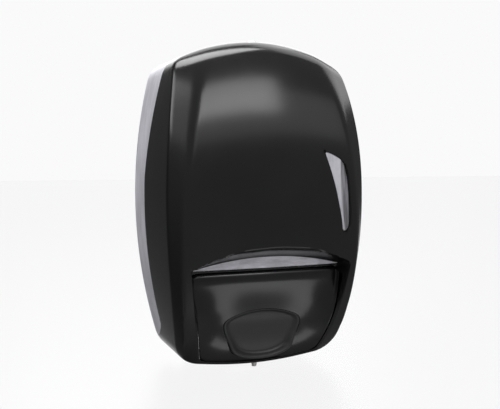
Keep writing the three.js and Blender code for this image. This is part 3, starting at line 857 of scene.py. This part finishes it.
def panel_face(x, z):
    """Panel surface: the front face with its top rolled back into the scoop and its sides and
    foot eased over."""
    top, flank, foot = panel_edges(x, z)
    tight = 0.3 + 0.7 * smooth((z + 82) / 26)
    return (face(x, z) - 0.2 - rolled(top, 11, 5) - rolled(flank, 5 * tight, 3.4 * tight)
            - rolled(foot, 1.2, 0.8))


def push_panel():
    """The panel: a grid between its edges, drawn in at the corners, with an opening that is
    ringed to the pad's outline."""
    u = np.linspace(-1, 1, PANEL_COLS + 1)
    u = np.sign(u) * (1 - (1 - np.abs(u)) ** 1.25)
    v = np.linspace(0, 1, PANEL_ROWS + 1)
    v = 1 - (1 - v) ** 1.3
    x = np.broadcast_to(u * 60, (len(v), len(u))).copy()
    for _ in range(4):
        low = floor(x) + PANEL_SHY[2]
        z = low + (PANEL_TOP - PANEL_SHY[0] - low) * v[:, None]
        x = u[None] * (panel_half(z) - PANEL_SHY[1])
    # Corners drawn in: the sharp grid's corner moves along both edges.
    top, flank, foot = panel_edges(x, z)
    high = 9 * 0.25 * closeness(flank, 9) * closeness(top, 9)
    low = 6 * 0.25 * closeness(flank, 6) * closeness(foot, 6)
    depth = panel_face(x, z)
    px, pz = x - np.sign(x) * (high + low), z - high + low
    middle = PANEL_COLS // 2
    half = int(np.searchsorted(x[20, middle:], PAD_FRAME[0]))
    r0, r1 = (int(np.searchsorted(z[:, middle], h)) for h in PAD_FRAME[1:])
    area = (r0, r1, middle - half, middle + half)
    line = four_sides(*pad_line(0.4), area[3] - area[2], area[1] - area[0])
    start = rect_loop(x, z, *area)
    frame_ring = fit_ring(start, line, 4, lambda a, b: at(a, panel_face(a, b), b))
    return make("push_panel_skin", [drop(at(px, depth, pz), area), frame_ring],
                inside=(0, -20, -90))


panel = soften(thicken(push_panel(), PANEL_WALL), 0.3)
finish(panel, black_gloss, "black_gloss", "push_lever", "push_panel")


def panel_lugs():
    """Four lugs that hang the panel on the lever rod."""
    foot = [(87.6, -61), (87.6, -57.5)]
    return make("push_panel_lugs", [lug(LEVER, LEVER_EYE, x, x + 4, LEVER_TURN, foot)
                                    for x in (-64, -24, 20, 60)])


finish(panel_lugs(), black_gloss, "black_gloss", "push_lever")


def press_pad():
    """Dished pad: rings from the middle to the rim, over the lip and down its skirt; the
    lower lip stands out from the panel.  A round foot behind it meets the plunger."""
    count = 120
    outline = np.concatenate([along(line, count // 4)[:-1] for line in pad_line(0)])
    centre = np.array([0, PAD_MIDDLE])
    shares = (0.02, 0.15, 0.3, 0.45, 0.58, 0.68, 0.76, 0.82, 0.87, 0.91, 0.945, 0.97, 0.988, 1)
    stack = []
    for share in shares:
        p = centre + (outline - centre) * share
        x, z = p[:, 0], p[:, 1]
        lip = 0.5 + 4.6 * smooth((-106 - outline[:, 1]) / 24)
        rim = smooth((share - 0.80) / 0.13)
        dish = 1.5 * (1 - smooth((share - 0.86) / 0.09))
        over = rolled(np.array((1 - share) * 33.0), 1.0, 0.9)
        stack.append(at(x, face(x, z) - dish + lip * rim - over, z))
    x, z = outline[:, 0], outline[:, 1]
    for sink in (0.6, 2.2, 3.2):
        stack.append(at(x, face(x, z) - sink, z))
    back = centre + (outline - centre) * 0.5
    stack.append(at(back[:, 0], face(back[:, 0], back[:, 1]) - 4, back[:, 1]))
    foot = bar(6, 63.4, 72.5, "out", (0, PUMP_Z), 36, 0.6)
    return make("press_pad_dished", [loops(stack), foot])


finish(press_pad(), black_satin, "black_satin", "push_lever", "press_pad")


# ------------------------------------------------------------------ wall tray
def tray_walls():
    """The tray's rim: side walls and roof from the wall to the parting line."""
    shoulder = 112
    rows = np.concatenate([np.linspace(-128.6, -102, 26), np.linspace(-102, shoulder, 90)[1:]])

    def heights(x):
        rise = shoulder + (roof(x)[None] - shoulder) * np.linspace(0, 1, 7)[1:, None]
        return np.concatenate([rows[:, None] + 0 * x[None], rise])

    edge = lambda z: np.maximum(parting(z) - 0.2, 0.4)
    x, f, z = wall_grid(heights, lambda h: 0 * h, edge, 12)
    patches = [patch(at(*round_corners(s * x, f, z))) for s in (1, -1)]
    u = np.linspace(-1, 1, 121)[None, :]
    rx = u * x[-1][:, None]
    patches.append(patch(at(*round_corners(rx, f[-1][:, None] + 0 * u, roof(rx)))))
    return thicken(make("tray_rim", patches, inside=(0, -10, 0)), TRAY_WALL)


tray = soften(tray_walls(), 0.3)
finish(tray, smoke_tray, "smoke_tray", "base", "wall_tray")


KEYHOLES = [(s * 46, h) for s in (-1, 1) for h in (92, -58)]
KEY_ENTRY, KEY_SLOT = 4.5, 2.4   # radii of a keyhole's entry and slot


def keyhole(x, z):
    """Round entry below a slot."""
    t = np.radians(np.linspace(122, 418, 26))
    entry = np.stack([x + KEY_ENTRY * np.cos(t), z - 7 + KEY_ENTRY * np.sin(t)], -1)
    u = np.radians(np.linspace(0, 180, 12))
    slot = np.stack([x + KEY_SLOT * np.cos(u), z + KEY_SLOT * np.sin(u)], -1)
    return np.concatenate([slot, entry])


def tray_plate():
    """The plate against the wall, with four keyholes, filled between its outlines."""
    z = np.linspace(-124, 112, 60)
    right = np.stack([wall_half(z) - 2.0, z], -1)
    x = np.linspace(74, -74, 60)
    top = np.stack([x, roof(x) - 2.0], -1)
    outline = np.concatenate([right, top, right[::-1] * [-1, 1]])
    outline = ease(outline, 3, steps=2)
    lines = [outline] + [keyhole(*place) for place in KEYHOLES]
    p = np.concatenate(lines)
    starts = np.cumsum([0] + [len(line) for line in lines[:-1]])
    edges = np.concatenate([np.stack([np.arange(len(line)), np.roll(np.arange(len(line)), -1)], -1)
                            + start for line, start in zip(lines, starts)])
    mesh = bpy.data.meshes.new("tray_plate")
    mesh.from_pydata((at(p[:, 0], 3, p[:, 1]) * MM).tolist(), edges.tolist(), [])
    bm = bmesh.new()
    bm.from_mesh(mesh)
    bmesh.ops.triangle_fill(bm, edges=bm.edges, use_beauty=True, use_dissolve=False)
    bmesh.ops.recalc_face_normals(bm, faces=bm.faces)
    if sum(f.normal.y for f in bm.faces) > 0:
        bmesh.ops.reverse_faces(bm, faces=bm.faces)
    bm.to_mesh(mesh)
    bm.free()
    piece = bpy.data.objects.new("tray_plate", mesh)
    bpy.context.scene.collection.objects.link(piece)
    return soften(thicken(piece, PLATE_WALL), 0.4)


finish(tray_plate(), smoke_tray, "smoke_tray", "base")


def tray_fittings():
    """Ribs, hinge lugs, tank bosses, pump cradle and the lock's catch."""
    patches = []
    for s in (-1, 1):
        for h in (70, 28, -30, -80):
            x0, x1 = sorted((s * 68, s * (wall_half(h) - 1.6)))
            patches.append(box(x0, x1, 2.5, 26, h - 1, h + 1, 0.5))
        x0, x1 = sorted((s * 38, s * 43.6))
        patches.append(lug(HINGE, 4.4, x0, x1, (-70, 70), [(2.5, -123), (2.5, -131.5)], 0.6, 16))
        x, z = TANK_SCREW
        patches.append(turned(pipe(1.8, 4.5, 2.5, 20, 12), "out", (s * x, z), 40, 0.4))
    patches.append(box(-17, 17, 2.5, 9, -124, -103, 1.2))
    patches.append(box(-5, 5, 41, 44.5, 124, 137.2, 0.5))
    return make("tray_fittings", patches)


finish(tray_fittings(), smoke_tray, "smoke_tray", "base")

for s, name in ((-1, "left"), (1, "right")):
    x0, x1 = sorted((s * 37, s * 52))
    pin = make("hinge_pin_turned_" + name, [bar(2, x0, x1, "across", HINGE, 32, 0.5)])
    finish(pin, steel, "steel", "base", "hinge_pin_" + name)


# ------------------------------------------------------------------ lock in the roof
def slotted(radius, slot, count=64):
    """Two lines of the same count: a circle and the slot cut into it, as (u, v)."""
    half_u, half_v = slot
    t = np.linspace(0, TAU, count, endpoint=False)
    circle = np.stack([radius * np.cos(t), radius * np.sin(t)], -1)
    line = np.stack([half_u * np.tanh(6 * np.cos(t)), half_v * np.sin(t)], -1)
    return circle, line


def lock_barrel():
    """Cylinder with a collar; the key slot is a well in its face."""
    circle, line = slotted(1.0, (0.7, 3.0))
    level = lambda p, h: at(p[:, 0], LOCK_F + p[:, 1], np.full(len(p), h))
    stack = [level(circle * r, h) for r, h in (
        (0.5, 123), (4.3, 123), (4.6, 123.3), (4.6, 139.6), (4.8, 139.9), (6.3, 139.9),
        (6.6, 140.1), (6.6, 140.6), (6.3, 141.05), (5.8, 141.2), (4.2, 141.2), (4.0, 141.05))]
    stack += [level(circle * 3.7, 141.05), level(line * 1.08, 141.05), level(line, 140.95),
              level(line, 137.5), level(line * 0.5, 137.4)]
    return make("lock_barrel_keyed", [loops(stack)])


finish(lock_barrel(), lock_chrome, "lock_chrome", "lock", "lock_barrel")


def hex_nut():
    """Hexagon with a round bore; its corners are eased by a chamfer."""
    t = np.linspace(0, TAU, 72, endpoint=False)
    hexagon = 8 * math.cos(math.pi / 6) / np.cos((t + math.pi / 6) % (math.pi / 3) - math.pi / 6)
    cut = lambda r: np.minimum(hexagon, r)
    level = lambda r, h: at(r * np.cos(t), LOCK_F + r * np.sin(t), 0 * t + h)
    stack = [level(r, h) for r, h in (
        (4.9, 129.1), (4.9, 127.9), (5.2, 127.6), (cut(7.2), 127.6), (cut(7.75), 127.95),
        (hexagon, 128.3), (hexagon, 129.9), (cut(7.75), 130.25), (cut(7.2), 130.6),
        (5.2, 130.6), (4.9, 130.3), (4.9, 129.1))]
    return make("lock_nut_hex", [loops(stack, cap=False)])


finish(hex_nut(), lock_chrome, "lock_chrome", "cover", "lock_nut")


def lock_cam():
    """Stamped cam: a disc with an arm, and the arm's tip turned up."""
    t = np.radians(np.linspace(30, 330, 40))
    disc = np.stack([6 * np.cos(t), LOCK_F + 6 * np.sin(t)], -1)
    outline = np.concatenate([disc, [(17.6, LOCK_F - 3), (17.6, LOCK_F + 3)]])
    arm = slab(ease(outline, 0.8, steps=3), 121, 122.7, UPRIGHT, 0.25)
    tip = box(15.4, 17.7, LOCK_F - 2.9, LOCK_F + 2.9, 121.1, 128.4, 0.5)
    return make("lock_cam_stamped", [arm, tip])


finish(lock_cam(), lock_chrome, "lock_chrome", "lock", "lock_cam")


def screw(radius, low, high, place, slot, deep):
    """A slotted head between two levels; place(p, h) gives the points, deep the slot's floor."""
    circle, line = slotted(radius, slot, 48)
    way = 1 if high > low else -1
    stack = [place(circle * 0.5, low), place(circle * 0.97, low), place(circle, low + 0.15 * way),
             place(circle, high - 0.5 * way), place(circle * 0.93, high - 0.15 * way),
             place(circle * 0.86, high), place(line * 1.05, high), place(line, high - 0.05 * way),
             place(line, high - deep * way), place(line * 0.4, high - deep * way)]
    return loops(stack)


under = lambda p, h: at(p[:, 0], LOCK_F + p[:, 1], np.full(len(p), h))
cam_screw = make("cam_screw_slotted", [screw(3, 120.7, 118.6, under, (0.45, 2.2), 0.8)])
finish(cam_screw, steel, "steel", "lock", "cam_screw")

for s, name in ((-1, "left"), (1, "right")):
    x, z = s * TANK_SCREW[0], TANK_SCREW[1]
    ahead = lambda p, h: at(x + p[:, 0], np.full(len(p), h), z + p[:, 1])
    patches = [screw(3.4, 24.4, 26.4, ahead, (0.45, 2.5), 0.9),
               bar(1.5, 12, 24.6, "out", (x, z), 24, 0.4)]
    tank_screw = make("tank_screw_slotted_" + name, patches)
    finish(tank_screw, steel, "steel", "base", "tank_screw_" + name)


# ------------------------------------------------------------------ tank, cap and nut
def tank_skin():
    """Blown shell of the tank: its outline swept through a rolled profile from back to front,
    slightly crowned on its faces."""
    right = [(22, -88), (62, -40), (62, 105)]
    outline = ease(right + [(-x, z) for x, z in right[::-1]], 15, steps=9)
    outline = along(np.concatenate([outline, outline[:1]]), 160)[:-1]
    middle = np.array([0, 18.0])
    tangent = np.roll(outline, -1, 0) - np.roll(outline, 1, 0)
    normal = np.stack([tangent[:, 1], -tangent[:, 0]], -1)
    normal /= np.linalg.norm(normal, axis=1, keepdims=True)
    edge, crown = 7.0, 0.8
    level = lambda p, f: at(p[:, 0], f + 0 * p[:, 0], p[:, 1])
    stack = []
    for depth, sign in ((8, 1), (66, -1)):
        caps = [level(middle + (outline - normal * edge - middle) * share,
                      depth + sign * crown * share ** 2) for share in (0.05, 0.3, 0.55, 0.75, 0.9)]
        roll = [level(outline - normal * edge * (1 - math.sin(a)),
                      depth + sign * (crown + (edge - crown) * (1 - math.cos(a))))
                for a in np.linspace(0, math.pi / 2, 7)]
        stack += caps + roll if sign > 0 else (caps + roll)[::-1]
    return loops(stack)


def tank_body():
    """The tank's shell with its threaded filler neck, outlet neck and two ears."""
    thread = lambda t, h: 0.035 * np.sin(TAU * (h - 105) / 2.2 - t) * ((h > 105.6) & (h < 110.6))
    neck = [(15, 103), (17, 103)] + [(17, h) for h in np.linspace(105, 110.9, 28)]
    neck += [(16.6, 111), (15, 111), (15, 103)]
    patches = [tank_skin(), turned(neck, "up", FILLER, 72, 0.02, thread),
               turned(pipe(5.5, 8, -86, -97.5, -92), "up", UNION, 48)]
    for s in (-1, 1):
        x0, x1 = sorted((s * 36, s * 60))
        patches.append(box(x0, x1, 21, 24, -75, -61, 2.5, 0.5))
    return make("tank_blown", patches)


finish(tank_body(), milky_tank, "milky_tank", "base", "tank")


def filler_cap():
    """Screw cap: skirt with fine flutes, flat top with a raised rim and a grip bar."""
    flutes = lambda t, h: -0.022 * (0.5 + 0.5 * np.cos(48 * t)) * ((h > 106.8) & (h < 113.6))
    skirt = [(17.6, 109), (17.6, 106.2), (19.6, 106.2)]
    skirt += [(19.6, h) for h in (106.9, 107.4, 112.9, 113.5)]
    skirt += [(19.6, 114.8), (16.5, 114.8), (16, 114.3), (0, 114.3)]
    inside = [(0, 112.6), (17.6, 112.6), (17.6, 109)]
    body = turned(inside + skirt[1:], "up", FILLER, 288, 0.35, flutes)
    t = np.linspace(-15, 15, 25)
    grip = np.concatenate([np.stack([t, 0 * t + 30], -1), np.stack([t[::-1], 0 * t + 26], -1)])
    handle = slab(ease(grip, 0.9, steps=3), 114.2, 118.8, UPRIGHT, 0.7)
    return make("filler_cap_fluted", [body, handle])


finish(filler_cap(), grey_cap, "grey_cap", "filler_cap", "filler_cap")
seal = make("cap_seal_ring", [turned(pipe(15.3, 16.8, 111.3, 112.3), "up", FILLER, 64, 0.25)])
finish(seal, seal_rubber, "seal_rubber", "filler_cap", "cap_seal")
gasket = make("inlet_gasket_ring", [turned(pipe(4.6, 7.6, -99.2, -97.8), "up", UNION, 48, 0.3)])
finish(gasket, seal_rubber, "seal_rubber", "base", "inlet_gasket")
ribs = lambda t, h: -0.05 * (0.5 + 0.5 * np.cos(24 * t)) * ((h > -103.9) & (h < -92))
nut_profile = [(8.4, -98), (8.4, -104.6), (12, -104.6), (12, -103.8), (12, -103.2), (12, -93),
               (12, -92.2), (12, -91), (8.4, -91), (8.4, -98)]
nut = make("inlet_nut_ribbed", [turned(nut_profile, "up", UNION, 192, 0.3, ribs)])
finish(nut, grey_cap, "grey_cap", "base", "inlet_nut")


# ------------------------------------------------------------------ pump
def pump_body():
    """The pump's barrel with its collar, and the tube that rises from it to the union."""
    barrel = [(0, 12), (8.5, 12), (8.5, 36.5), (10.2, 36.5), (10.2, 34), (11, 33.4), (11, 16),
              (10.4, 15.4), (10.4, 9.4), (0, 9.4)]
    tube = pipe(4.4, 8, -99.5, -106.5, -101)
    return make("pump_barrel", [turned(barrel, "out", (0, PUMP_Z), 64, 0.4),
                                turned(tube, "up", UNION, 48, 0.3)])


finish(pump_body(), pump_white, "pump_white", "base", "pump_body")
valve = [(0, -103.6), (3.6, -103.6), (3.6, -102.8), (1, -102.4), (1, -100.6), (0, -100.6)]
finish(make("inlet_valve_mushroom", [turned(valve, "up", UNION, 40, 0.25)]),
       seal_rubber, "seal_rubber", "base", "inlet_valve")


def plunger():
    """The piston with its seal groove and stem, the head in front of it and the spout."""
    piston = [(0, 22), (8.1, 22), (8.1, 23.4), (6.4, 23.4), (6.4, 25.6), (8.1, 25.6), (8.1, 27),
              (4, 27), (4, 54), (0, 54)]
    head = box(-7, 7, 53, 62.9, -124, -109, 2.0, 1.0)
    spout = pipe(1.9, 3.3, -134, -122)
    return make("plunger_moulded", [turned(piston, "out", (0, PUMP_Z), 56, 0.3), head,
                                    turned(spout, "up", SPOUT, 40, 0.3)])


finish(plunger(), pump_white, "pump_white", "plunger", "plunger")
piston_ring = make("piston_seal_ring",
                   [turned(pipe(6.7, 8.3, 23.7, 25.3), "out", (0, PUMP_Z), 56, 0.5)])
finish(piston_ring, seal_rubber, "seal_rubber", "plunger", "piston_seal")
angle = np.linspace(0, math.pi, 17)
ball_profile = np.stack([1.5 * np.sin(angle), -121 - 1.5 * np.cos(angle)], -1)
finish(make("outlet_ball_polished", [turned(ball_profile, "up", SPOUT, 32, 0.01)]),
       lock_chrome, "steel", "plunger", "outlet_ball")
tip_profile = [(1.2, -138), (1.2, -134.3), (3, -134.3), (2.7, -138), (2.35, -140), (2.0, -142.3),
               (1.2, -142.3), (1.2, -138)]
finish(make("nozzle_tip_tapered", [turned(tip_profile, "up", SPOUT, 40, 0.3)]),
       pump_white, "pump_white", "plunger", "nozzle_tip")


def return_spring():
    """Wire carried along a helix whose end turns lie flat: pitch eases off at both ends."""
    turns, wire, radius = 5.5, 0.7, 6
    s = np.linspace(0, 1, 331)[:, None]
    pitch = s - 0.09 * np.sin(TAU * s)
    a = TAU * turns * s
    centre = np.concatenate([radius * np.cos(a), 37.7 + 14.1 * pitch,
                             PUMP_Z + radius * np.sin(a)], 1)
    tangent = np.gradient(centre, axis=0)
    tangent /= np.linalg.norm(tangent, axis=1, keepdims=True)
    radial = np.concatenate([np.cos(a), 0 * a, np.sin(a)], 1)
    normal = np.cross(tangent, radial)
    b = np.linspace(0, TAU, 12, endpoint=False)[None, :, None]
    taper = np.sqrt(np.clip(np.minimum(s, 1 - s) * 180, 0, 1))[..., None]
    p = centre[:, None] + wire * taper * (np.cos(b) * radial[:, None] + np.sin(b) * normal[:, None])
    return make("return_spring_coiled", [patch(at(p[..., 0], p[..., 1], p[..., 2]), closed=True)])


spring = finish(return_spring(), steel, "steel", "base", "return_spring")
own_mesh(spring)


# ------------------------------------------------------------------ studio
FLOOR_Z = -0.1427                # metres
MIRROR = 0.07                    # share of the floor's mirror
LOOK_AT = Vector((0, -0.05, 0))


def studio_floor():
    """A clear pale sheet under the piece that faintly mirrors it."""
    bpy.ops.mesh.primitive_plane_add(size=12, location=(0, 0, FLOOR_Z))
    sheet = bpy.context.object
    sheet.name = "studio_floor"
    material = bpy.data.materials.new("studio_floor")
    material.use_nodes = True
    tree = material.node_tree
    tree.nodes.clear()
    out = tree.nodes.new("ShaderNodeOutputMaterial")
    clear = tree.nodes.new("ShaderNodeBsdfTransparent")
    mirror = tree.nodes.new("ShaderNodeBsdfGlossy")
    mirror.inputs["Roughness"].default_value = 0.35
    mirror.inputs["Color"].default_value = (1, 1, 1, 1)
    blend = tree.nodes.new("ShaderNodeMixShader")
    blend.inputs[0].default_value = MIRROR
    tree.links.new(clear.outputs[0], blend.inputs[1])
    tree.links.new(mirror.outputs[0], blend.inputs[2])
    tree.links.new(blend.outputs[0], out.inputs[0])
    sheet.data.materials.append(material)


def world():
    """Near white to the camera, a dimmer grey room to everything else."""
    w = bpy.data.worlds.new("studio")
    bpy.context.scene.world = w
    w.use_nodes = True
    tree = w.node_tree
    tree.nodes.clear()
    out = tree.nodes.new("ShaderNodeOutputWorld")
    rays = tree.nodes.new("ShaderNodeLightPath")
    seen, room = tree.nodes.new("ShaderNodeBackground"), tree.nodes.new("ShaderNodeBackground")
    seen.inputs[0].default_value = (0.955, 0.955, 0.96, 1)
    way = tree.nodes.new("ShaderNodeTexCoord")

    def toward(aim, start, stop, low, high):
        """Level that rises from low to high as a ray turns towards aim."""
        lean = tree.nodes.new("ShaderNodeVectorMath")
        lean.operation = "DOT_PRODUCT"
        lean.inputs[1].default_value = aim
        tree.links.new(way.outputs["Generated"], lean.inputs[0])
        level = tree.nodes.new("ShaderNodeMapRange")
        level.interpolation_type = "SMOOTHSTEP"
        ends = {"From Min": start, "From Max": stop, "To Min": low, "To Max": high}
        for key, value in ends.items():
            level.inputs[key].default_value = value
        tree.links.new(lean.outputs["Value"], level.inputs["Value"])
        return level.outputs[0]

    total = tree.nodes.new("ShaderNodeMath")
    tree.links.new(toward((0.34, 0.94, 0), 0.82, 0.96, 0, 0.85), total.inputs[0])
    tree.links.new(toward((0.2, -0.97, 0.1), -0.5, 0.5, 0.06, 0.24), total.inputs[1])
    tree.links.new(total.outputs[0], room.inputs[1])
    room.inputs[0].default_value = (1, 1, 1.01, 1)
    blend = tree.nodes.new("ShaderNodeMixShader")
    tree.links.new(rays.outputs["Is Camera Ray"], blend.inputs[0])
    tree.links.new(room.outputs[0], blend.inputs[1])
    tree.links.new(seen.outputs[0], blend.inputs[2])
    tree.links.new(blend.outputs[0], out.inputs[0])


def direction(azimuth, elevation):
    """Unit vector from the piece outwards, by azimuth from the front and elevation."""
    a, e = math.radians(azimuth), math.radians(elevation)
    return Vector((math.sin(a) * math.cos(e), -math.cos(a) * math.cos(e), math.sin(e)))


def softbox(name, azimuth, elevation, distance, width, height, radiance):
    """A rectangular lamp that looks at the middle of the piece; radiance sets its power."""
    away = direction(azimuth, elevation)
    light = bpy.data.lights.new(name, "AREA")
    light.shape = "RECTANGLE"
    light.size, light.size_y = width, height
    light.energy = radiance * math.pi * width * height
    lamp = bpy.data.objects.new(name, light)
    bpy.context.scene.collection.objects.link(lamp)
    lamp.location = LOOK_AT + away * distance
    lamp.rotation_euler = away.to_track_quat("Z", "Y").to_euler()
    lamp.visible_camera = False


def camera():
    """Long lens, from the left and slightly above."""
    away = direction(-22, 3.5)
    lens = bpy.data.cameras.new("camera")
    lens.lens, lens.sensor_width = 52.92, 36
    lens.clip_start = 0.01
    cam = bpy.data.objects.new("camera", lens)
    bpy.context.scene.collection.objects.link(cam)
    cam.location = LOOK_AT + away * 0.65
    cam.rotation_euler = away.to_track_quat("Z", "Y").to_euler()
    bpy.context.scene.camera = cam


studio_floor()
world()
softbox("front_high", 6, 40, 1.3, 0.9, 0.42, 4.2)
softbox("front_wide", 16, 30, 1.3, 1.9, 0.5, 0.7)
softbox("overhead", -120, 85, 1.1, 0.55, 0.8, 8)
softbox("back_high", 166, 36, 1.3, 1.0, 1.0, 1.5)
softbox("left_high", -80, 37, 1.1, 0.6, 0.56, 4.2)
softbox("right_high", 110, 44, 1.2, 0.8, 1.0, 1.5)
softbox("front_low", 26, -43, 1.2, 0.72, 0.32, 1.6)
camera()
bpy.context.scene.view_settings.view_transform = "Standard"
